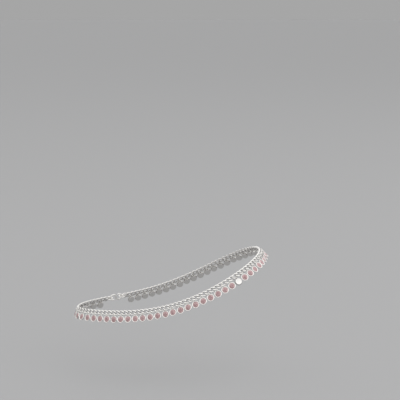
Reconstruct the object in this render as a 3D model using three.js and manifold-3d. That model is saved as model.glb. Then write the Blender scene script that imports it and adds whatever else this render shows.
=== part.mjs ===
// A silver anklet in its worn form: a flat curb chain bent into a loop, a row of small stone-set
// cups hanging from its lower edge, and a plain S-hook that joins the chain's two ends.
// Millimetres, +Z up, the loop's front end towards +X. The origin is the middle of its opening.
import * as THREE from 'three';
import { mergeVertices } from 'three/addons/utils/BufferGeometryUtils.js';
import Module from 'manifold-3d';

// The loop that the chain's middle line makes when it is worn
const LOOP_HALF_LENGTH = 47.5; // from the middle to the back end, and to the front end
const LOOP_HALF_WIDTH = 29.5;
const FRONT_WIDENING = 0.36; // share by which the front half is wider and the back half narrower
const END_FULLNESS = 0.05; // share by which both ends are blunter than an ellipse
const FRONT_RISE = 15; // height of the front end over the middle, and depth of the back end
const SIDE_SAG = 8.2; // how far both sides hang below a straight line from end to end
const SAG_GATHERING = 0.38; // share by which the sag keeps to the middle of the sides

// Lean of the band: its lower edge stands further out than its upper edge
const LEAN_AT_SIDES = THREE.MathUtils.degToRad(15);
const LEAN_AT_BACK = THREE.MathUtils.degToRad(22);
const LEAN_AT_FRONT = THREE.MathUtils.degToRad(47);
const LEAN_SHARPNESS = 3; // how closely the stronger lean keeps to the two ends

// Curb chain, as the flat tube that its links fill
const CHAIN_WIDTH = 2.7;
const CHAIN_THICKNESS = 1.3;
const CHAIN_SECTION_SIDES = 8;
const CHAIN_STEPS = 80;

// Cup drops, set edge to edge
const DROP_COUNT = 62;
const DROP_PITCH = 3.92;
const DROP_HANG = 3.26; // from the chain's middle line to the middle of a cup
const DROP_SIDES = 10;
const TURNED_DROP = 29; // this one hangs with its plain back to the front
const CUP_PROFILE = [
  // radius and depth, from the middle of the back to the middle of the stone's table
  { radius: 0, depth: -0.55 },
  { radius: 1.6, depth: -0.55 }, // edge of the plain back
  { radius: 1.93, depth: 0.38 }, // rim, rolled over the stone
  { radius: 1.25, depth: 0.42 }, // girdle of the stone
  { radius: 0.7, depth: 0.65 }, // edge of the table
  { radius: 0, depth: 0.65 },
];

// Small ring that hangs each cup on the chain's lower edge, which fills the ring
const BAIL_HEIGHT = 1.54;
const BAIL_DEPTH = 1.2;
const BAIL_WIRE = 0.4;
const BAIL_HANG = 1.2; // from the chain's middle line to the middle of the ring
const BAIL_SIDES = 6;

// Clasp between the loop's back end and its far side: an S of wire through the chain's end rings
const HOOK_ANGLE = THREE.MathUtils.degToRad(233.15); // 180 is the back end, 270 the middle of the far side
const HOOK_BEND_RADIUS = 1.6;
const HOOK_BEND_ANGLE = THREE.MathUtils.degToRad(285);
const HOOK_WIRE_RADIUS = 0.42;
const HOOK_WIRE_SIDES = 6;
const HOOK_STEPS = 40;
const END_RING_RADIUS = 1.45;
const END_RING_WIRE_RADIUS = 0.35;
const END_RING_SLACK = 0.38; // how far the ring's middle lies past the wire of the hook's bend
const END_RING_SEAT = 0.15; // how far the chain's end goes into the ring's wire
const END_RING_SIDES = 12;
const END_RING_WIRE_SIDES = 6;

const MERGE_DISTANCE = 1e-4;

const wasm = await Module();
wasm.setup();

// x = a cos q, y = -b sin q (1 + k cos q + m cos 2q), z = rise cos q - sag sin^2 q (1 - h cos^2 q),
// from the hook past the back end, along the near side to the front end and home along the far side.
class WornLoop extends THREE.Curve {
  angleAt(t) {
    return HOOK_ANGLE - 2 * Math.PI * t;
  }

  getPoint(t, target = new THREE.Vector3()) {
    const angle = this.angleAt(t);
    const cos = Math.cos(angle);
    const sin = Math.sin(angle);
    const fullness = 1 + FRONT_WIDENING * cos + END_FULLNESS * Math.cos(2 * angle);
    return target.set(
      LOOP_HALF_LENGTH * cos,
      -LOOP_HALF_WIDTH * sin * fullness,
      FRONT_RISE * cos - SIDE_SAG * sin * sin * (1 - SAG_GATHERING * cos * cos),
    );
  }
}

const loop = new WornLoop();
loop.arcLengthDivisions = 2000;
const loopLength = loop.getLength();

// The band's own axes at a length along the loop: along the chain, up across it, and outwards.
function bandAxes(length) {
  const share = length / loopLength;
  const cos = Math.cos(loop.angleAt(loop.getUtoTmapping(share)));
  const along = loop.getTangentAt(share);
  const up = new THREE.Vector3(0, 0, 1).addScaledVector(along, -along.z).normalize();
  const lean = LEAN_AT_SIDES
    + (LEAN_AT_FRONT - LEAN_AT_SIDES) * ((1 + cos) / 2) ** LEAN_SHARPNESS
    + (LEAN_AT_BACK - LEAN_AT_SIDES) * ((1 - cos) / 2) ** LEAN_SHARPNESS;
  up.applyAxisAngle(along, -lean);
  const out = new THREE.Vector3().crossVectors(along, up);
  return { middle: loop.getPointAt(share), along, up, out };
}

// Carries a shape drawn with x along the chain, y up and z out to its place on the loop.
function bandPlace(length) {
  const { middle, along, up, out } = bandAxes(length);
  return new THREE.Matrix4().makeBasis(along, up, out).setPosition(middle);
}

// A stretch of the loop whose section keeps to the band's lean instead of a free twist.
class BandPath extends THREE.Curve {
  constructor(start, end) {
    super();
    this.start = start;
    this.end = end;
  }

  lengthAt(share) {
    return this.start + (this.end - this.start) * share;
  }

  getPoint(t, target = new THREE.Vector3()) {
    return loop.getPointAt(this.lengthAt(t) / loopLength, target);
  }

  computeFrenetFrames(steps) {
    const axes = Array.from({ length: steps + 1 }, (_, i) => bandAxes(this.lengthAt(i / steps)));
    return {
      tangents: axes.map((a) => a.along),
      normals: axes.map((a) => a.up),
      binormals: axes.map((a) => a.out),
    };
  }
}

// An S of two equal bends that meet in the middle, drawn in the plane of the band.
class HookPath extends THREE.Curve {
  getPoint(t, target = new THREE.Vector3()) {
    const side = t < 0.5 ? -1 : 1;
    const turn = Math.abs(2 * t - 1) * HOOK_BEND_ANGLE;
    return target.set(
      side * HOOK_BEND_RADIUS * (1 - Math.cos(turn)),
      side * HOOK_BEND_RADIUS * Math.sin(turn),
      0,
    );
  }
}

// A closed polygon with its corners on an oval.
function ovalSection(halfX, halfY, sides) {
  const corners = Array.from({ length: sides }, (_, i) => {
    const angle = (2 * Math.PI * i) / sides;
    return new THREE.Vector2(halfX * Math.cos(angle), halfY * Math.sin(angle));
  });
  return new THREE.Shape(corners);
}

// Turns a closed surface into a solid, without the empty triangles at a turned shape's poles.
function solidOf(geometry, place = new THREE.Matrix4()) {
  const bare = geometry.clone().applyMatrix4(place);
  bare.deleteAttribute('normal');
  bare.deleteAttribute('uv');
  const merged = mergeVertices(bare, MERGE_DISTANCE);
  const corners = merged.index
    ? merged.index.array
    : Array.from({ length: merged.attributes.position.count }, (_, i) => i);
  const faces = [];
  for (let i = 0; i < corners.length; i += 3) {
    const [a, b, c] = corners.slice(i, i + 3);
    if (a !== b && b !== c && c !== a) {
      faces.push(a, b, c);
    }
  }
  return new wasm.Manifold(new wasm.Mesh({
    numProp: 3,
    vertProperties: merged.attributes.position.array,
    triVerts: new Uint32Array(faces),
  }));
}

function meshOf(name, solid, material) {
  const { vertProperties, triVerts } = solid.getMesh();
  const geometry = new THREE.BufferGeometry();
  geometry.setAttribute('position', new THREE.BufferAttribute(vertProperties, 3));
  geometry.setIndex(new THREE.BufferAttribute(triVerts, 1));
  geometry.computeVertexNormals();
  const mesh = new THREE.Mesh(geometry, material);
  mesh.name = name;
  return mesh;
}

// A cup with its stone, turned about the axis that faces out, below the chain's middle line.
function cupGeometry() {
  const profile = CUP_PROFILE.map(({ radius, depth }) => new THREE.Vector2(radius, depth));
  return new THREE.LatheGeometry(profile, DROP_SIDES).rotateX(Math.PI / 2);
}

// The ring between a cup and the chain, across the chain's lower edge.
function bailGeometry() {
  const outline = ovalSection(BAIL_DEPTH / 2, BAIL_HEIGHT / 2, BAIL_SIDES);
  return new THREE.ExtrudeGeometry(outline, { depth: BAIL_WIRE, bevelEnabled: false })
    .translate(0, 0, -BAIL_WIRE / 2)
    .rotateY(Math.PI / 2)
    .translate(0, -BAIL_HANG, 0);
}

function dropPlace(index) {
  const rowLength = (DROP_COUNT - 1) * DROP_PITCH;
  const length = (loopLength - rowLength) / 2 + index * DROP_PITCH;
  return bandPlace(length);
}

// The chain's tube, fused with its end rings and every drop.
function chainWithDrops() {
  const ringPlace = 2 * HOOK_BEND_RADIUS + END_RING_SLACK;
  const endPlace = ringPlace + END_RING_RADIUS - END_RING_SEAT;
  const section = ovalSection(CHAIN_WIDTH / 2, CHAIN_THICKNESS / 2, CHAIN_SECTION_SIDES);
  const tube = new THREE.ExtrudeGeometry(section, {
    steps: CHAIN_STEPS,
    extrudePath: new BandPath(endPlace, loopLength - endPlace),
  });
  let chain = solidOf(tube);

  const endRing = new THREE.TorusGeometry(
    END_RING_RADIUS, END_RING_WIRE_RADIUS, END_RING_WIRE_SIDES, END_RING_SIDES,
  ).rotateX(Math.PI / 2);
  for (const side of [-1, 1]) {
    chain = chain.add(solidOf(endRing.clone().translate(side * ringPlace, 0, 0), bandPlace(0)));
  }

  const faceFront = cupGeometry().translate(0, -DROP_HANG, 0);
  const faceBack = cupGeometry().rotateY(Math.PI).translate(0, -DROP_HANG, 0);
  const bail = bailGeometry();
  for (let i = 0; i < DROP_COUNT; i += 1) {
    const place = dropPlace(i);
    const cup = i === TURNED_DROP ? faceBack : faceFront;
    chain = chain.add(solidOf(cup, place)).add(solidOf(bail, place));
  }
  return chain;
}

function sHook() {
  const section = ovalSection(HOOK_WIRE_RADIUS, HOOK_WIRE_RADIUS, HOOK_WIRE_SIDES);
  const wire = new THREE.ExtrudeGeometry(section, { steps: HOOK_STEPS, extrudePath: new HookPath() });
  return solidOf(wire, bandPlace(0));
}

const brightSilver = new THREE.MeshStandardMaterial({ color: 0xe9e6e1, metalness: 1, roughness: 0.22 });
const plainSilver = new THREE.MeshStandardMaterial({ color: 0xd9d6d1, metalness: 1, roughness: 0.3 });

const anklet = new THREE.Group();
anklet.add(meshOf('chain_with_drops', chainWithDrops(), brightSilver));
anklet.add(meshOf('s_hook', sHook(), plainSilver));

export default anklet;
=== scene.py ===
import bpy
import numpy as np
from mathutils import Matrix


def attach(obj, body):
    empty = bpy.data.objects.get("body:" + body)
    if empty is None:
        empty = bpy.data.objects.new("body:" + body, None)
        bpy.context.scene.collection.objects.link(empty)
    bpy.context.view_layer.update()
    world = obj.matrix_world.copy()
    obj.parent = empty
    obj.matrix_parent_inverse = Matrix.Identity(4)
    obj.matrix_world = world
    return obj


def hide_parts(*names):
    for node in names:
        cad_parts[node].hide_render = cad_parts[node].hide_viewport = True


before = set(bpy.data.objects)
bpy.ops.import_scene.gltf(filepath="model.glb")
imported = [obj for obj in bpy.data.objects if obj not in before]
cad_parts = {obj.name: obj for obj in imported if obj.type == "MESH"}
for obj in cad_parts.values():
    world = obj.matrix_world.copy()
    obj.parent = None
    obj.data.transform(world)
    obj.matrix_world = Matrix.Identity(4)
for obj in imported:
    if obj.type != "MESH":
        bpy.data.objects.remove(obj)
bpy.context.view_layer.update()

# Curb chain
# Round sterling wire bent into blunt oval links, each threaded through the one before it, soldered shut
# and twisted so that the chain lies flat. Both faces of the chain are then filed flat and polished.

LOOP_HALF_LENGTH = 47.5e-3
LOOP_HALF_WIDTH = 29.5e-3
FRONT_WIDENING = 0.36
END_FULLNESS = 0.05
FRONT_RISE = 15e-3
SIDE_SAG = 8.2e-3
SAG_GATHERING = 0.38
LEAN_AT_SIDES = np.radians(15)
LEAN_AT_BACK = np.radians(22)
LEAN_AT_FRONT = np.radians(47)
LEAN_SHARPNESS = 3
HOOK_ANGLE = np.radians(233.15)
LOOP_SAMPLES = 20001
TANGENT_STEP = 1e-4

LINK_PITCH = 2.25e-3
LINK_HALF_LENGTH = 1.52e-3
LINK_HALF_WIDTH = 0.985e-3
LINK_BLUNTNESS = 0.7
LINK_TWIST = np.radians(46)
LINK_WIRE_RADIUS = 0.372e-3
LINK_STEPS = 32
LINK_SIDES = 10
FILED_HALF_THICKNESS = 0.52e-3
FILED_CROWN = 0.15
LINK_ROLL = np.radians(1)
CHAIN_START = 4.05e-3
HAND_SEED = 7

POLISHED_SILVER = (0.94, 0.925, 0.90, 1)
# Painted shade: the dark grey that the silver is painted towards in holes, wells, walls and backs
SHADED_SILVER = (0.16, 0.152, 0.144, 1)
BRIGHT_ROUGHNESS = (0.12, 0.26)
HAZE_SCALE = 900
HAZE_DETAIL = 3
HAZE_RANGE = (0.3, 0.7)
TOOL_MARK_SCALE = 2600
TOOL_MARK_DETAIL = 2
TOOL_MARK_STRENGTH = 0.12
TOOL_MARK_DEPTH = 2e-5
# Painted shade on the links: towards each link's hole, and a little on the inside of the loop
INSIDE_SHADE_AMOUNT = 0.35
HOLE_SHADE_FROM = 0.55

# Shapes are drawn with x along the chain, y up across it and z out from the loop.
ALONG, UP, OUT = range(3)


def worn_line(angle):
    """Point of the chain's middle line at an angle round the loop, 0 at its front end and pi at its
    back end: x = a cos q, y = -b sin q (1 + k cos q + m cos 2q) and
    z = rise cos q - sag sin^2 q (1 - h cos^2 q)."""
    cos, sin = np.cos(angle), np.sin(angle)
    y = -LOOP_HALF_WIDTH * sin * (1 + FRONT_WIDENING * cos + END_FULLNESS * np.cos(2 * angle))
    z = FRONT_RISE * cos - SIDE_SAG * sin ** 2 * (1 - SAG_GATHERING * cos ** 2)
    return np.stack([LOOP_HALF_LENGTH * cos, y, z], axis=-1)


loop_angles = HOOK_ANGLE - np.linspace(0, 2 * np.pi, LOOP_SAMPLES)
loop_steps = np.linalg.norm(np.diff(worn_line(loop_angles), axis=0), axis=1)
loop_lengths = np.concatenate([[0], np.cumsum(loop_steps)])
loop_length = loop_lengths[-1]


def unit(vectors):
    """Each vector divided by its length."""
    return vectors / np.linalg.norm(vectors, axis=-1, keepdims=True)


def band_axes(lengths):
    """Middle points and axes of the band at lengths from the hook. The columns are along the chain,
    up across it and out from the loop: plumb axes, turned about the chain by the band's lean, which
    goes from the sides' to each end's with the power of how near that end is."""
    angle = np.interp(lengths, loop_lengths, loop_angles)
    along = unit(worn_line(angle - TANGENT_STEP) - worn_line(angle + TANGENT_STEP))
    plumb_up = unit(np.array([0, 0, 1]) - along * along[:, 2:])
    plumb_out = np.cross(along, plumb_up)
    near_front = ((1 + np.cos(angle)) / 2) ** LEAN_SHARPNESS
    near_back = ((1 - np.cos(angle)) / 2) ** LEAN_SHARPNESS
    lean = (
        LEAN_AT_SIDES
        + (LEAN_AT_FRONT - LEAN_AT_SIDES) * near_front
        + (LEAN_AT_BACK - LEAN_AT_SIDES) * near_back
    )
    cos, sin = np.cos(lean)[:, None], np.sin(lean)[:, None]
    up = cos * plumb_up - sin * plumb_out
    out = cos * plumb_out + sin * plumb_up
    return worn_line(angle), np.stack([along, up, out], axis=-1)


def place_on_band(shapes, lengths):
    """Carries one shape, or one for each length, to its place on the loop: middle + axes times point."""
    middle, axes = band_axes(lengths)
    shapes = np.broadcast_to(shapes, (len(lengths), *shapes.shape[-2:]))
    return middle[:, None] + np.einsum("kij,knj->kni", axes, shapes)


def closed_wire(path, side, radius, sides):
    """Round wire along a closed path: path + radius (cos a across + sin a side), where side is made
    square to the path and across is square to both. The wire's points run row by row."""
    ahead = unit(np.roll(path, -1, axis=-2) - np.roll(path, 1, axis=-2))
    side = unit(side - ahead * (side * ahead).sum(-1, keepdims=True))
    across = np.cross(side, ahead)
    turn = np.linspace(0, 2 * np.pi, sides, endpoint=False)[:, None]
    ring = np.cos(turn) * across[..., None, :] + np.sin(turn) * side[..., None, :]
    return (path[..., None, :] + radius * ring).reshape(*path.shape[:-2], -1, 3)


def ring_faces(rows, columns, last_row_joins=True):
    """Quads of a grid whose columns close on themselves, and whose last row may join the first."""
    spans = rows if last_row_joins else rows - 1
    row, column = np.meshgrid(np.arange(spans), np.arange(columns), indexing="ij")
    next_row, next_column = (row + 1) % rows, (column + 1) % columns
    corners = [(row, column), (row, next_column), (next_row, next_column), (next_row, column)]
    return np.stack([r * columns + c for r, c in corners], axis=-1).reshape(-1, 4)


def repeated(faces, points_each, copies):
    """The same faces once for each copy, with the point numbers moved on by whole copies."""
    shift = points_each * np.arange(copies)[:, None, None]
    return (faces[None] + shift).reshape(-1, faces.shape[1])


def turned(points, axis, angles):
    """Points turned about one axis by an angle for each copy: cos times one of the other two
    coordinates, less sin times the other."""
    first, second = (axis + 1) % 3, (axis + 2) % 3
    cos, sin = np.cos(angles)[:, None], np.sin(angles)[:, None]
    result = np.array(np.broadcast_to(points, (len(angles), *points.shape[-2:])))
    result[..., first] = cos * points[..., first] - sin * points[..., second]
    result[..., second] = sin * points[..., first] + cos * points[..., second]
    return result


def make_piece(name, points, faces, material, crease=None):
    """A piece with its points in place. Faces is one array, or a list of arrays of different corner
    counts. Every face is smooth, and edges sharper than the crease angle stay crisp."""
    groups = faces if isinstance(faces, list) else [faces]
    corners = [face for group in groups for face in group.tolist()]
    mesh = bpy.data.meshes.new(name)
    mesh.from_pydata(points.reshape(-1, 3).tolist(), [], corners)
    mesh.polygons.foreach_set("use_smooth", np.ones(len(corners), dtype=bool))
    if crease is not None:
        mesh.set_sharp_from_angle(angle=crease)
    mesh.materials.append(material)
    piece = bpy.data.objects.new(name, mesh)
    bpy.context.scene.collection.objects.link(piece)
    return piece


def mark_painted_shade(piece, shade_amount):
    """Gives each point its share of painted shade, 0 where the silver stays bright and 1 where it is
    darkest.
    """
    attribute = piece.data.attributes.new("painted_shade", "FLOAT", "POINT")
    shares = np.broadcast_to(np.ravel(shade_amount), len(piece.data.vertices))
    attribute.data.foreach_set("value", np.ascontiguousarray(shares, dtype=np.float32))


def silver_finish(name, polish, roughness):
    """Silver that goes from its polish to a painted dark grey with each point's share of painted shade. A
    fine noise hazes it between two roughnesses, and a finer one leaves faint tool marks."""
    material = bpy.data.materials.new(name)
    material.use_nodes = True
    nodes, links = material.node_tree.nodes, material.node_tree.links
    shader = nodes["Principled BSDF"]
    shader.inputs["Metallic"].default_value = 1
    painted_shade = nodes.new("ShaderNodeAttribute")
    painted_shade.attribute_name = "painted_shade"
    colour = nodes.new("ShaderNodeMix")
    colour.data_type = "RGBA"
    colour.inputs["A"].default_value = polish
    colour.inputs["B"].default_value = SHADED_SILVER
    links.new(painted_shade.outputs["Fac"], colour.inputs["Factor"])
    links.new(colour.outputs["Result"], shader.inputs["Base Color"])
    place = nodes.new("ShaderNodeTexCoord")
    haze = nodes.new("ShaderNodeTexNoise")
    haze.inputs["Scale"].default_value = HAZE_SCALE
    haze.inputs["Detail"].default_value = HAZE_DETAIL
    links.new(place.outputs["Object"], haze.inputs["Vector"])
    gloss = nodes.new("ShaderNodeMapRange")
    gloss.inputs["From Min"].default_value = HAZE_RANGE[0]
    gloss.inputs["From Max"].default_value = HAZE_RANGE[1]
    gloss.inputs["To Min"].default_value = roughness[0]
    gloss.inputs["To Max"].default_value = roughness[1]
    links.new(haze.outputs["Fac"], gloss.inputs["Value"])
    links.new(gloss.outputs["Result"], shader.inputs["Roughness"])
    tool_marks = nodes.new("ShaderNodeTexNoise")
    tool_marks.inputs["Scale"].default_value = TOOL_MARK_SCALE
    tool_marks.inputs["Detail"].default_value = TOOL_MARK_DETAIL
    links.new(place.outputs["Object"], tool_marks.inputs["Vector"])
    bump = nodes.new("ShaderNodeBump")
    bump.inputs["Strength"].default_value = TOOL_MARK_STRENGTH
    bump.inputs["Distance"].default_value = TOOL_MARK_DEPTH
    links.new(tool_marks.outputs["Fac"], bump.inputs["Height"])
    links.new(bump.outputs["Normal"], shader.inputs["Normal"])
    return material


def blunt(wave):
    """A sine or cosine raised to a power below 1, with its sign kept, which fills out an oval's ends."""
    return np.sign(wave) * np.abs(wave) ** LINK_BLUNTNESS


bright_silver = silver_finish("bright_silver", POLISHED_SILVER, BRIGHT_ROUGHNESS)
hand_made = np.random.default_rng(HAND_SEED)

first_link = CHAIN_START + LINK_HALF_LENGTH
link_reach = loop_length - 2 * first_link
link_count = round(link_reach / LINK_PITCH) + 1
link_places = first_link + np.linspace(0, link_reach, link_count)

# The link's blunt oval, A cos t along the chain and B sin t across it, turned about the chain by
# twist cos t, with the blunt form of both waves.
round_link = np.linspace(0, 2 * np.pi, LINK_STEPS, endpoint=False)
link_along = blunt(np.cos(round_link))
link_across = LINK_HALF_WIDTH * blunt(np.sin(round_link))
twist = LINK_TWIST * link_along
link_path = np.stack([
    LINK_HALF_LENGTH * link_along,
    link_across * np.cos(twist),
    link_across * np.sin(twist),
], axis=-1)
link_side = np.stack([np.zeros(LINK_STEPS), -np.sin(twist), np.cos(twist)], axis=-1)
link = closed_wire(link_path, link_side, LINK_WIRE_RADIUS, LINK_SIDES)
link_points = turned(link, ALONG, hand_made.uniform(-LINK_ROLL, LINK_ROLL, link_count))
link_faces = repeated(ring_faces(LINK_STEPS, LINK_SIDES), len(link), link_count)

# The file takes all but a slight crown off what stands past the filed faces.
filed_away = np.clip(np.abs(link_points[..., OUT]) - FILED_HALF_THICKNESS, 0, None)
link_points[..., OUT] -= np.sign(link_points[..., OUT]) * (1 - FILED_CROWN) * filed_away

# Painted shade on the wire's side towards the link's hole, and a little of it on the inside of the loop.
to_hole = np.cos(np.linspace(0, 2 * np.pi, LINK_SIDES, endpoint=False))
hole_shade_amount = np.clip((to_hole - HOLE_SHADE_FROM) / (1 - HOLE_SHADE_FROM), 0, 1)
to_inside = np.clip(-link_points[..., OUT] / FILED_HALF_THICKNESS, 0, 1)
link_shade_amount = np.maximum(np.tile(hole_shade_amount, LINK_STEPS), INSIDE_SHADE_AMOUNT * to_inside)

links_in_place = place_on_band(link_points, link_places)
curb_links = make_piece("curb_links", links_in_place, link_faces, bright_silver)
mark_painted_shade(curb_links, link_shade_amount)
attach(curb_links, "root")
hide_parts("chain_with_drops")

# Cups
# Small round settings pressed from sheet silver: a plain polished back, a wall that widens to the
# front and a rim rolled over the stone. They hang edge to edge, each a little out of true, and one
# hangs turned over.

DROP_COUNT = 62
DROP_PITCH = 3.92e-3
DROP_HANG = 3.26e-3
DROP_PIVOT = 0.42e-3
TURNED_DROP = 29
DROP_SWING = np.radians(0.8)
DROP_NOD = np.radians(4)
DROP_YAW = np.radians(5)
BAIL_PULL = 0.06
HOLE_REACH = 0.15e-3
CUP_SIDES = 28
CUP_CREASE = np.radians(50)
BACK_RADIUS = 1.48e-3
BACK_DEPTH = -0.56e-3
BACK_DOME = 0.1e-3
BACK_SHOULDER = 0.6
BACK_EDGE = 0.16e-3
BACK_EDGE_SPAN = np.radians([-90, -15])
BACK_EDGE_STEPS = 4
RIM_RADIUS = 1.64e-3
RIM_DEPTH = 0.28e-3
RIM_EDGE = 0.29e-3
RIM_HEIGHT = 0.2e-3
RIM_SPAN = np.radians([-30, 90])
RIM_STEPS = 6
RIM_SWELL = 0.03e-3
LIP_RADIUS = 1.36e-3
LIP_DEPTH = 0.31e-3
SEAT_RADIUS = 1.33e-3
SEAT_DEPTH = 0.12e-3
WELL_RADIUS = 1.1e-3
WELL_DEPTH = -0.3e-3
# Painted shade on the cups' outer walls and backs
WALL_SHADE_AMOUNT = 0.35
BACK_SHADE_AMOUNT = 0.3


def round_edge(radius, depth, half_width, half_height, span, steps):
    """Points of a profile's round edge: centre + (half width cos a, half height sin a)."""
    a = np.linspace(*span, steps)
    return np.stack([radius + half_width * np.cos(a), depth + half_height * np.sin(a)], axis=-1)


def turned_form(profile, sides):
    """A closed form turned about z from a profile of radius and depth that starts and ends on the
    axis: (radius sin a, radius cos a, depth), with one point at each pole."""
    a = np.linspace(0, 2 * np.pi, sides, endpoint=False)
    radius, depth = profile[1:-1, 0, None], profile[1:-1, 1, None]
    rings = np.stack([radius * np.sin(a), radius * np.cos(a), depth + 0 * a], axis=-1).reshape(-1, 3)
    poles = np.array([[0, 0, profile[0, 1]], [0, 0, profile[-1, 1]]])
    back_pole, front_pole = len(rings), len(rings) + 1
    column = np.arange(sides)
    following = (column + 1) % sides
    last_ring = len(rings) - sides
    fans = np.concatenate([
        np.stack([column, following, np.full(sides, back_pole)], axis=-1),
        np.stack([last_ring + following, last_ring + column, np.full(sides, front_pole)], axis=-1),
    ])
    quads = ring_faces(len(profile) - 2, sides, last_row_joins=False)[:, ::-1]
    return np.concatenate([rings, poles]), quads, fans


row_start = (loop_length - (DROP_COUNT - 1) * DROP_PITCH) / 2
drop_places = row_start + DROP_PITCH * np.arange(DROP_COUNT)
nearest_link = np.abs(drop_places[:, None] - link_places).argmin(axis=1)
past_link = drop_places - link_places[nearest_link]
hole_offset = np.clip(past_link, -HOLE_REACH, HOLE_REACH) - past_link
drop_swing = hand_made.uniform(-DROP_SWING, DROP_SWING, DROP_COUNT)
drop_nod = hand_made.uniform(-DROP_NOD, DROP_NOD, DROP_COUNT)
drop_yaw = hand_made.uniform(-DROP_YAW, DROP_YAW, DROP_COUNT)
drop_yaw[TURNED_DROP] += np.pi


def hang(shape):
    """Hangs a copy of a shape drawn about the cup's middle from every place: turned about its own
    upright, lowered, nodded and swung about the bail, and drawn a little towards its link."""
    drops = turned(shape, UP, drop_yaw)
    drops[..., UP] -= DROP_HANG - DROP_PIVOT
    drops = turned(turned(drops, ALONG, drop_nod), OUT, drop_swing)
    drops[..., ALONG] += BAIL_PULL * hole_offset[:, None]
    drops[..., UP] -= DROP_PIVOT
    return drops


rim_crest = RIM_DEPTH + RIM_HEIGHT
cup_profile = np.concatenate([
    [[0, BACK_DEPTH - BACK_DOME]],
    [[BACK_RADIUS * BACK_SHOULDER, BACK_DEPTH - BACK_SHOULDER * BACK_DOME]],
    round_edge(BACK_RADIUS, BACK_DEPTH + BACK_EDGE, BACK_EDGE, BACK_EDGE, BACK_EDGE_SPAN, BACK_EDGE_STEPS),
    round_edge(RIM_RADIUS, RIM_DEPTH, RIM_EDGE, RIM_HEIGHT, RIM_SPAN, RIM_STEPS),
    [[(RIM_RADIUS + LIP_RADIUS) / 2, (rim_crest + LIP_DEPTH) / 2 + RIM_SWELL]],
    [[LIP_RADIUS, LIP_DEPTH]],
    [[SEAT_RADIUS, SEAT_DEPTH]],
    [[WELL_RADIUS, WELL_DEPTH]],
    [[0, WELL_DEPTH]],
])
cup, cup_quads, cup_fans = turned_form(cup_profile, CUP_SIDES)
cup_faces = [repeated(cup_quads, len(cup), DROP_COUNT), repeated(cup_fans, len(cup), DROP_COUNT)]

# Painted shade fills the well, thins out up the wall to the rim and dims the backs, but not the turned
# drop's.
in_well = (np.hypot(cup[:, 0], cup[:, 1]) < LIP_RADIUS) & (cup[:, OUT] >= WELL_DEPTH)
on_back = cup[:, OUT] < BACK_DEPTH + BACK_EDGE / 2
up_rim = np.clip((cup[:, OUT] - RIM_DEPTH) / (LIP_DEPTH - RIM_DEPTH), 0, 1)
outer_shade_amount = np.where(on_back, BACK_SHADE_AMOUNT, WALL_SHADE_AMOUNT * (1 - up_rim))
cup_shade_amount = np.tile(np.where(in_well, 1, outer_shade_amount), (DROP_COUNT, 1))
cup_shade_amount[TURNED_DROP, on_back] = 0

cups_in_place = place_on_band(hang(cup), drop_places)
cups = make_piece("cups", cups_in_place, cup_faces, bright_silver, CUP_CREASE)
mark_painted_shade(cups, cup_shade_amount)
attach(cups, "root")
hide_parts("chain_with_drops")

# Stones
# Round dusty-pink glass stones with an eight-sided table, stars, kites and girdle facets, dropped into
# the cups on a foil. The light and shade that the cut throws back are painted on the facets: the table
# in the deep colour of the stone, and the slanting facets paler.

STONE_RADIUS = 1.4e-3
STONE_TABLE_RADIUS = 0.75e-3
STONE_TABLE_DEPTH = 0.62e-3
STONE_GIRDLE_DEPTH = 0.28e-3
STONE_POINT_DEPTH = -0.24e-3
STONE_CUT = 8
STAR_SHARE = 0.45
# Painted reflection: the pale and the deep pink between which each facet is painted
STONE_LIGHT = (0.57, 0.387, 0.387, 1)
STONE_DARK = (0.205, 0.093, 0.098, 1)
STONE_ROUGHNESS = 0.06
STONE_IOR = 1.62
GLAZE_WEIGHT = 0.6
GLAZE_ROUGHNESS = 0.03
CLOUD_SCALE = 1300
CLOUD_DETAIL = 2
CLOUD_SPREAD = 0.18

# Painted reflection: how pale each kind of facet is painted, in turns round the stone
KITE_TONES = (0.6, 0.82)
TABLE_TONES = (0.3, 0.48)
STAR_TONES = (0.48, 0.68)
FIRST_GIRDLE_TONES = (0.72, 0.84)
SECOND_GIRDLE_TONES = (0.88, 0.76)
UNDERSIDE_TONE = 0
TONE_SPREAD = 0.14


def level_circle(turn, radius, depth):
    """Points (radius sin a, radius cos a) at one depth."""
    return np.stack([radius * np.sin(turn), radius * np.cos(turn), np.full(len(turn), depth)], axis=-1)


def stone_form():
    """Table corners on one circle, star points half a step round and part of the way down, the
    girdle's corners twice as close, and a point below. Kites lie flat, because the star points lie
    on the straight line from table to girdle once they are moved out by 1 / cos(half a step)."""
    half_step = np.pi / STONE_CUT
    table_turn = 2 * half_step * np.arange(STONE_CUT)
    girdle_turn = half_step * np.arange(2 * STONE_CUT)
    star_radius = STONE_TABLE_RADIUS + STAR_SHARE * (STONE_RADIUS - STONE_TABLE_RADIUS)
    star_depth = STONE_TABLE_DEPTH + STAR_SHARE * (STONE_GIRDLE_DEPTH - STONE_TABLE_DEPTH)
    return np.concatenate([
        level_circle(table_turn, STONE_TABLE_RADIUS, STONE_TABLE_DEPTH),
        level_circle(table_turn + half_step, star_radius / np.cos(half_step), star_depth),
        level_circle(girdle_turn, STONE_RADIUS, STONE_GIRDLE_DEPTH),
        [[0, 0, STONE_TABLE_DEPTH], [0, 0, STONE_POINT_DEPTH]],
    ])


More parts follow.
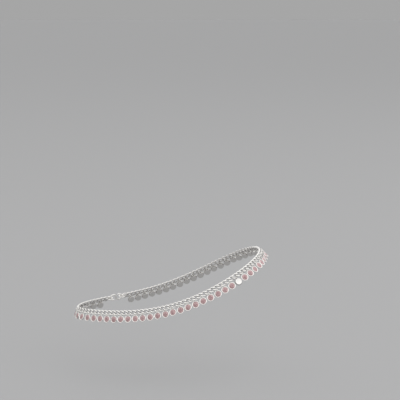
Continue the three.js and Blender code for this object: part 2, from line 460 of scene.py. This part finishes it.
def stone_facets():
    """Kites, and the triangles of table, stars, girdle and underside, as corner numbers: the table's
    corners come first, then the star points, the girdle's corners, the table's middle and the point."""
    i = np.arange(STONE_CUT)
    following = (i + 1) % STONE_CUT
    star, girdle = STONE_CUT + i, 2 * STONE_CUT + 2 * i
    star_before = STONE_CUT + (i - 1) % STONE_CUT
    next_girdle = 2 * STONE_CUT + (2 * i + 2) % (2 * STONE_CUT)
    middle = np.full(STONE_CUT, 4 * STONE_CUT)
    point = middle + 1
    kites = np.stack([i, star, girdle, star_before], axis=-1)
    triangles = np.concatenate([
        np.stack(corners, axis=-1) for corners in (
            (middle, following, i),
            (i, following, star),
            (star, girdle + 1, girdle),
            (star, next_girdle, girdle + 1),
            (girdle, girdle + 1, point),
            (girdle + 1, next_girdle, point),
        )
    ])
    return kites, triangles


def in_turns(tones):
    """Two tones by turns, once round the stone."""
    return np.tile(tones, STONE_CUT // 2)


def stone_finish():
    """Clear-coated pink that goes from dark to light with each facet's painted reflection, plus faint
    clouds inside.
    """
    material = bpy.data.materials.new("pink_stone")
    material.use_nodes = True
    nodes, links = material.node_tree.nodes, material.node_tree.links
    shader = nodes["Principled BSDF"]
    shader.inputs["Roughness"].default_value = STONE_ROUGHNESS
    shader.inputs["IOR"].default_value = STONE_IOR
    shader.inputs["Coat Weight"].default_value = GLAZE_WEIGHT
    shader.inputs["Coat Roughness"].default_value = GLAZE_ROUGHNESS
    place = nodes.new("ShaderNodeTexCoord")
    clouds = nodes.new("ShaderNodeTexNoise")
    clouds.inputs["Scale"].default_value = CLOUD_SCALE
    clouds.inputs["Detail"].default_value = CLOUD_DETAIL
    links.new(place.outputs["Object"], clouds.inputs["Vector"])
    uneven = nodes.new("ShaderNodeMapRange")
    uneven.inputs["To Min"].default_value = -CLOUD_SPREAD
    uneven.inputs["To Max"].default_value = CLOUD_SPREAD
    links.new(clouds.outputs["Fac"], uneven.inputs["Value"])
    tone = nodes.new("ShaderNodeAttribute")
    tone.attribute_name = "facet_painted_reflection"
    paleness = nodes.new("ShaderNodeMath")
    paleness.operation = "ADD"
    paleness.use_clamp = True
    links.new(tone.outputs["Fac"], paleness.inputs[0])
    links.new(uneven.outputs["Result"], paleness.inputs[1])
    colour = nodes.new("ShaderNodeMix")
    colour.data_type = "RGBA"
    colour.inputs["A"].default_value = STONE_DARK
    colour.inputs["B"].default_value = STONE_LIGHT
    links.new(paleness.outputs["Value"], colour.inputs["Factor"])
    links.new(colour.outputs["Result"], shader.inputs["Base Color"])
    return material


stone = stone_form()
kites, triangles = stone_facets()
stone_faces = [repeated(kites, len(stone), DROP_COUNT), repeated(triangles, len(stone), DROP_COUNT)]
# Painted reflection: how pale each facet is painted, with a random spread from stone to stone
triangle_painted_reflections = np.concatenate([
    in_turns(TABLE_TONES),
    in_turns(STAR_TONES),
    in_turns(FIRST_GIRDLE_TONES),
    in_turns(SECOND_GIRDLE_TONES),
    np.full(2 * STONE_CUT, UNDERSIDE_TONE),
])
stone_painted_reflections = np.concatenate([
    (in_turns(KITE_TONES) + hand_made.normal(0, TONE_SPREAD, (DROP_COUNT, len(kites)))).ravel(),
    (triangle_painted_reflections + hand_made.normal(0, TONE_SPREAD, (DROP_COUNT, len(triangles)))).ravel(),
])

stones_in_place = place_on_band(hang(stone), drop_places)
stones = make_piece("stones", stones_in_place, stone_faces, stone_finish())
stones.data.polygons.foreach_set("use_smooth", np.zeros(len(stone_painted_reflections), dtype=bool))
facet_painted_reflection = stones.data.attributes.new("facet_painted_reflection", "FLOAT", "FACE")
facet_painted_reflection.data.foreach_set("value", np.clip(stone_painted_reflections, 0, 1).astype(np.float32))
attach(stones, "root")
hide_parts("chain_with_drops")

# Bails
# An oval ring of fine silver wire for each cup, threaded through the nearest link, closed under the
# link's lower strand and soldered to the top of the cup, so some of them lean to reach their cup.

BAIL_TOP = -0.36e-3
BAIL_BOTTOM = 1.68e-3
BAIL_HALF_DEPTH = 0.88e-3
BAIL_WIRE_RADIUS = 0.14e-3
BAIL_STEPS = 22
BAIL_SIDES = 8

# Each bail's oval: its middle + cos a times half its height + sin a times half its depth.
bail_tops = np.stack([hole_offset, np.full(DROP_COUNT, BAIL_TOP), np.zeros(DROP_COUNT)], axis=-1)
bail_bottoms = hang(np.array([[0, BAIL_BOTTOM, 0]]))[:, 0]
bail_middles = (bail_tops + bail_bottoms) / 2
bail_heights = (bail_tops - bail_bottoms) / 2
bail_rise = unit(bail_heights)
bail_depths = BAIL_HALF_DEPTH * unit(np.array([0, 0, 1]) - bail_rise * bail_rise[:, OUT:])
round_bail = np.linspace(0, 2 * np.pi, BAIL_STEPS, endpoint=False)[:, None]
bail_paths = bail_middles[:, None] + np.cos(round_bail) * bail_heights[:, None]
bail_paths += np.sin(round_bail) * bail_depths[:, None]
bail_sides = np.broadcast_to(unit(np.cross(bail_heights, bail_depths))[:, None], bail_paths.shape)
bail_points = closed_wire(bail_paths, bail_sides, BAIL_WIRE_RADIUS, BAIL_SIDES)
bail_faces = repeated(ring_faces(BAIL_STEPS, BAIL_SIDES), BAIL_STEPS * BAIL_SIDES, DROP_COUNT)

bails = make_piece("bails", place_on_band(bail_points, drop_places), bail_faces, bright_silver)
mark_painted_shade(bails, 0)
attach(bails, "root")
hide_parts("chain_with_drops")

# End rings
# A heavier ring of round silver wire, soldered shut, at each end of the chain. The last link and the
# hook both pass through it.

HOOK_BEND_RADIUS = 1.6e-3
END_RING_RADIUS = 1.45e-3
END_RING_WIRE_RADIUS = 0.33e-3
END_RING_SLACK = 0.38e-3
END_RING_STEPS = 36
END_RING_SIDES = 12

# The ring lies level, across the plane of the hook: (R cos a, 0, R sin a).
ring_turn = np.linspace(0, 2 * np.pi, END_RING_STEPS, endpoint=False)
ring_path = END_RING_RADIUS * np.stack([np.cos(ring_turn), 0 * ring_turn, np.sin(ring_turn)], axis=-1)
ring_side = np.broadcast_to([0, -1, 0], ring_path.shape)
ring = closed_wire(ring_path, ring_side, END_RING_WIRE_RADIUS, END_RING_SIDES)
ring_offset = np.array([2 * HOOK_BEND_RADIUS + END_RING_SLACK, 0, 0])
both_rings = np.concatenate([ring - ring_offset, ring + ring_offset])
both_ring_faces = repeated(ring_faces(END_RING_STEPS, END_RING_SIDES), len(ring), 2)

rings_in_place = place_on_band(both_rings, np.zeros(1))
end_rings = make_piece("end_rings", rings_in_place, both_ring_faces, bright_silver)
mark_painted_shade(end_rings, 0)
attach(end_rings, "root")
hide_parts("chain_with_drops")

# S-hook
# The clasp on the far side: one plain length of thicker silver wire bent into an S, with its tips
# filed round. It hooks through both end rings.

HOOK_BEND_ANGLE = np.radians(285)
HOOK_WIRE_RADIUS = 0.42e-3
HOOK_STEPS = 97
HOOK_SIDES = 14
HOOK_TIP_STEPS = 6
PLAIN_SILVER = (0.90, 0.885, 0.86, 1)
PLAIN_ROUGHNESS = (0.2, 0.36)


def s_wire():
    """Two equal bends that meet in the middle: (R (1 - cos t), R sin t) for one half and its mirror
    through the middle for the other, with the round section shrunk to a dome at both tips."""
    turn = np.linspace(-HOOK_BEND_ANGLE, HOOK_BEND_ANGLE, HOOK_STEPS)
    bend = np.stack([np.sign(turn) * (1 - np.cos(turn)), np.sin(turn), 0 * turn], axis=-1)
    path = HOOK_BEND_RADIUS * bend
    ahead = unit(np.gradient(path, axis=0))
    dome = np.linspace(np.pi / 2, 0, HOOK_TIP_STEPS, endpoint=False)[1:]
    tip_reach = HOOK_WIRE_RADIUS * np.sin(dome)[:, None]
    tip_size = np.cos(dome)
    tip_heading = np.ones((len(dome), 1))
    line = np.concatenate([path[0] - ahead[0] * tip_reach, path, path[-1] + ahead[-1] * tip_reach[::-1]])
    heading = np.concatenate([ahead[0] * tip_heading, ahead, ahead[-1] * tip_heading])
    size = HOOK_WIRE_RADIUS * np.concatenate([tip_size, np.ones(HOOK_STEPS), tip_size[::-1]])
    outward = np.array([0, 0, 1])
    a = np.linspace(0, 2 * np.pi, HOOK_SIDES, endpoint=False)[:, None]
    section = np.cos(a) * np.cross(outward, heading)[:, None] + np.sin(a) * outward
    rings = (line[:, None] + size[:, None, None] * section).reshape(-1, 3)
    tips = np.array([path[0] - ahead[0] * HOOK_WIRE_RADIUS, path[-1] + ahead[-1] * HOOK_WIRE_RADIUS])
    column = np.arange(HOOK_SIDES)
    following = (column + 1) % HOOK_SIDES
    last_ring = len(rings) - HOOK_SIDES
    caps = np.concatenate([
        np.stack([following, column, np.full(HOOK_SIDES, len(rings))], axis=-1),
        np.stack([last_ring + column, last_ring + following, np.full(HOOK_SIDES, len(rings) + 1)], axis=-1),
    ])
    return np.concatenate([rings, tips]), ring_faces(len(line), HOOK_SIDES, last_row_joins=False), caps


hook, hook_quads, hook_caps = s_wire()
plain_silver = silver_finish("plain_silver", PLAIN_SILVER, PLAIN_ROUGHNESS)

hook_in_place = place_on_band(hook, np.zeros(1))
s_hook = make_piece("s_hook_wire", hook_in_place, [hook_quads, hook_caps], plain_silver)
mark_painted_shade(s_hook, 0)
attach(s_hook, "root")
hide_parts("s_hook")

# Floor
# A plain matt floor in pale grey, well below the loop, that runs on to the horizon.
# It is no part of the anklet.

FLOOR_HEIGHT = -0.049
FLOOR_HALF_SIZE = 60.0
FLOOR_COLOUR = (0.32, 0.32, 0.323, 1)
FLOOR_ROUGHNESS = 0.8
FLOOR_SPECULAR = 0.1

floor_finish = bpy.data.materials.new("pale_floor")
floor_finish.use_nodes = True
floor_shader = floor_finish.node_tree.nodes["Principled BSDF"]
floor_shader.inputs["Base Color"].default_value = FLOOR_COLOUR
floor_shader.inputs["Roughness"].default_value = FLOOR_ROUGHNESS
floor_shader.inputs["Specular IOR Level"].default_value = FLOOR_SPECULAR
floor_corners = FLOOR_HALF_SIZE * np.array([[-1, -1, 0], [1, -1, 0], [1, 1, 0], [-1, 1, 0]])
floor_corners += [0, 0, FLOOR_HEIGHT]
floor = make_piece("floor", floor_corners, np.array([[0, 1, 2, 3]]), floor_finish)

# Studio light
# A white tent: as pale as the floor where they meet, dark just above that, so that edges of the silver
# show, and bright from there up. A soft box at the front right and a spread light from behind give it
# a direction; both stay out of reflections, which show the tent alone.

TENT_LIGHT = [
    # sine of the height angle, brightness
    (0.0, 0.34),
    (0.02, 0.34),
    (0.05, 0.06),
    (0.1, 0.06),
    (0.17, 0.95),
    (0.58, 0.95),
    (0.7, 0.86),
    (1.0, 0.86),
]
TENT_LEFT = 1.08
TENT_RIGHT = 1.16
SOFT_BOX_PLACE = (1.15, -0.95, 1.6)
SOFT_BOX_EDGE = 2.6
SOFT_BOX_POWER = 26
BACK_LIGHT_PLACE = (-1.0, 1.6, 1.2)
BACK_LIGHT_SPREAD = np.radians(60)
BACK_LIGHT_STRENGTH = 0.6

room = bpy.data.worlds.new("white_tent")
room.use_nodes = True
room_nodes, room_links = room.node_tree.nodes, room.node_tree.links
background = room_nodes["Background"]
direction = room_nodes.new("ShaderNodeTexCoord")
direction_parts = room_nodes.new("ShaderNodeSeparateXYZ")
room_links.new(direction.outputs["Generated"], direction_parts.inputs["Vector"])
tent = room_nodes.new("ShaderNodeValToRGB")
for height, _ in TENT_LIGHT[1:-1]:
    tent.color_ramp.elements.new(height)
for stop, (height, brightness) in zip(tent.color_ramp.elements, TENT_LIGHT):
    stop.position = height
    stop.color = (brightness, brightness, brightness, 1)
room_links.new(direction_parts.outputs["Z"], tent.inputs["Fac"])
room_links.new(tent.outputs["Color"], background.inputs["Color"])
left_to_right = room_nodes.new("ShaderNodeMapRange")
left_to_right.inputs["From Min"].default_value = -1
left_to_right.inputs["From Max"].default_value = 1
left_to_right.inputs["To Min"].default_value = TENT_LEFT
left_to_right.inputs["To Max"].default_value = TENT_RIGHT
room_links.new(direction_parts.outputs["X"], left_to_right.inputs["Value"])
room_links.new(left_to_right.outputs["Result"], background.inputs["Strength"])
bpy.context.scene.world = room


def aimed_lamp(name, kind, place, energy):
    """A lamp that points from its place at the middle of the loop and stays out of reflections."""
    lamp = bpy.data.lights.new(name, kind)
    lamp.energy = energy
    stand = bpy.data.objects.new(name, lamp)
    stand.location = place
    stand.rotation_mode = "QUATERNION"
    stand.rotation_quaternion = (-stand.location).to_track_quat("-Z", "Y")
    stand.visible_glossy = False
    bpy.context.scene.collection.objects.link(stand)
    return lamp


aimed_lamp("soft_box", "AREA", SOFT_BOX_PLACE, SOFT_BOX_POWER).size = SOFT_BOX_EDGE
aimed_lamp("back_light", "SUN", BACK_LIGHT_PLACE, BACK_LIGHT_STRENGTH).angle = BACK_LIGHT_SPREAD

# Camera
# A long lens at the side of the loop and a little above it, aimed up and to the right of its middle,
# as in the photograph.

CAMERA_DISTANCE = 0.6518
CAMERA_HEIGHT_ANGLE = np.radians(12)
CAMERA_DIP = np.radians(8.386)
CAMERA_PAN = np.radians(-1.447)
CAMERA_LENS = 112.5
CAMERA_SENSOR = 36.0
CAMERA_NEAR = 0.01

camera = bpy.data.cameras.new("camera")
camera.lens = CAMERA_LENS
camera.sensor_width = CAMERA_SENSOR
camera.clip_start = CAMERA_NEAR
camera_stand = bpy.data.objects.new("camera", camera)
camera_stand.location = (
    0,
    -CAMERA_DISTANCE * np.cos(CAMERA_HEIGHT_ANGLE),
    CAMERA_DISTANCE * np.sin(CAMERA_HEIGHT_ANGLE),
)
camera_stand.rotation_euler = (np.pi / 2 - CAMERA_DIP, 0, CAMERA_PAN)
bpy.context.scene.collection.objects.link(camera_stand)
bpy.context.scene.camera = camera_stand
bpy.context.scene.view_settings.view_transform = "Standard"

# Update
# The view layer is brought up to date.

bpy.context.view_layer.update()
